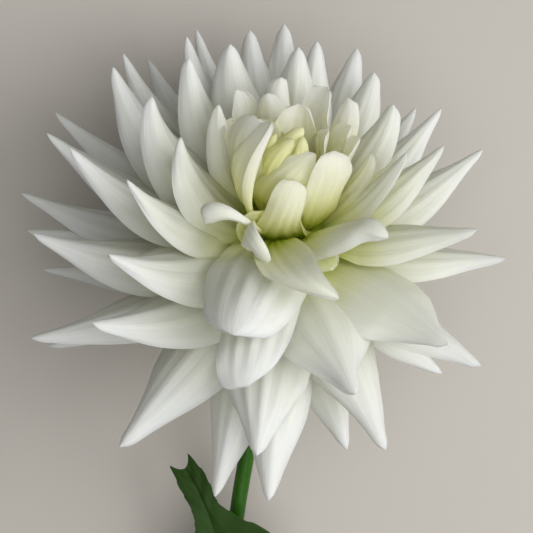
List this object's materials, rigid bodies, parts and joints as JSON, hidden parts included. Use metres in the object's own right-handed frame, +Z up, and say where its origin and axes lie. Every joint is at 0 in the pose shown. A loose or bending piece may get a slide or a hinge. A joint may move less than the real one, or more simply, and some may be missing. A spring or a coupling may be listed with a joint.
{
  "type": "dahlia flower",
  "caption": "Cut dahlia bloom with pointed white petals and a pale yellow heart, lying on its side on a leafy green stem.",
  "frame": {"origin": "middle of the footprint, on the table that the flower lies on", "axes": "+Z up from the table, +Y from the cut end of the stem towards the bloom, +X to the bloom's right as seen from above with the stem at the bottom"},
  "size_m": [0.1708, 0.3182, 0.1234],
  "materials": {
    "petal": "soft satin white petal, yellow-green at the foot",
    "heart": "soft satin pale yellow-green florets",
    "receptacle": "matte fresh green",
    "bract": "matte fresh green",
    "stem": "smooth green, slightly shiny",
    "leaf": "dark green, veined, slightly shiny"
  },
  "bodies": {
    "root": {"bract_1": "bract", "bract_2": "bract", "bract_3": "bract", "bract_4": "bract", "bract_5": "bract", "heart": "heart", "leaf": "leaf", "petal_front_1": "petal", "petal_front_10": "petal", "petal_front_11": "petal", "petal_front_2": "petal", "petal_front_3": "petal", "petal_front_4": "petal", "petal_front_5": "petal", "petal_front_6": "petal", "petal_front_7": "petal", "petal_front_8": "petal", "petal_front_9": "petal", "petal_left_1": "petal", "petal_left_10": "petal", "petal_left_2": "petal", "petal_left_3": "petal", "petal_left_4": "petal", "petal_left_5": "petal", "petal_left_6": "petal", "petal_left_7": "petal", "petal_left_8": "petal", "petal_left_9": "petal", "petal_right_1": "petal", "petal_right_2": "petal", "petal_right_3": "petal", "petal_right_4": "petal", "petal_right_5": "petal", "petal_right_6": "petal", "petal_right_7": "petal", "petal_top_1": "petal", "petal_top_2": "petal", "petal_top_3": "petal", "petal_top_4": "petal", "petal_top_5": "petal", "petal_top_6": "petal", "petal_top_7": "petal", "petal_under_1": "petal", "petal_under_2": "petal", "petal_under_3": "petal", "petal_under_4": "petal", "petal_under_5": "petal", "petal_under_6": "petal", "petal_under_7": "petal", "petal_under_8": "petal", "petal_upper_left_1": "petal", "petal_upper_left_2": "petal", "petal_upper_left_3": "petal", "petal_upper_left_4": "petal", "petal_upper_left_5": "petal", "petal_upper_left_6": "petal", "petal_upper_left_7": "petal", "petal_upper_left_8": "petal", "receptacle": "receptacle", "stem": "stem"}
  },
  "joints": []
}
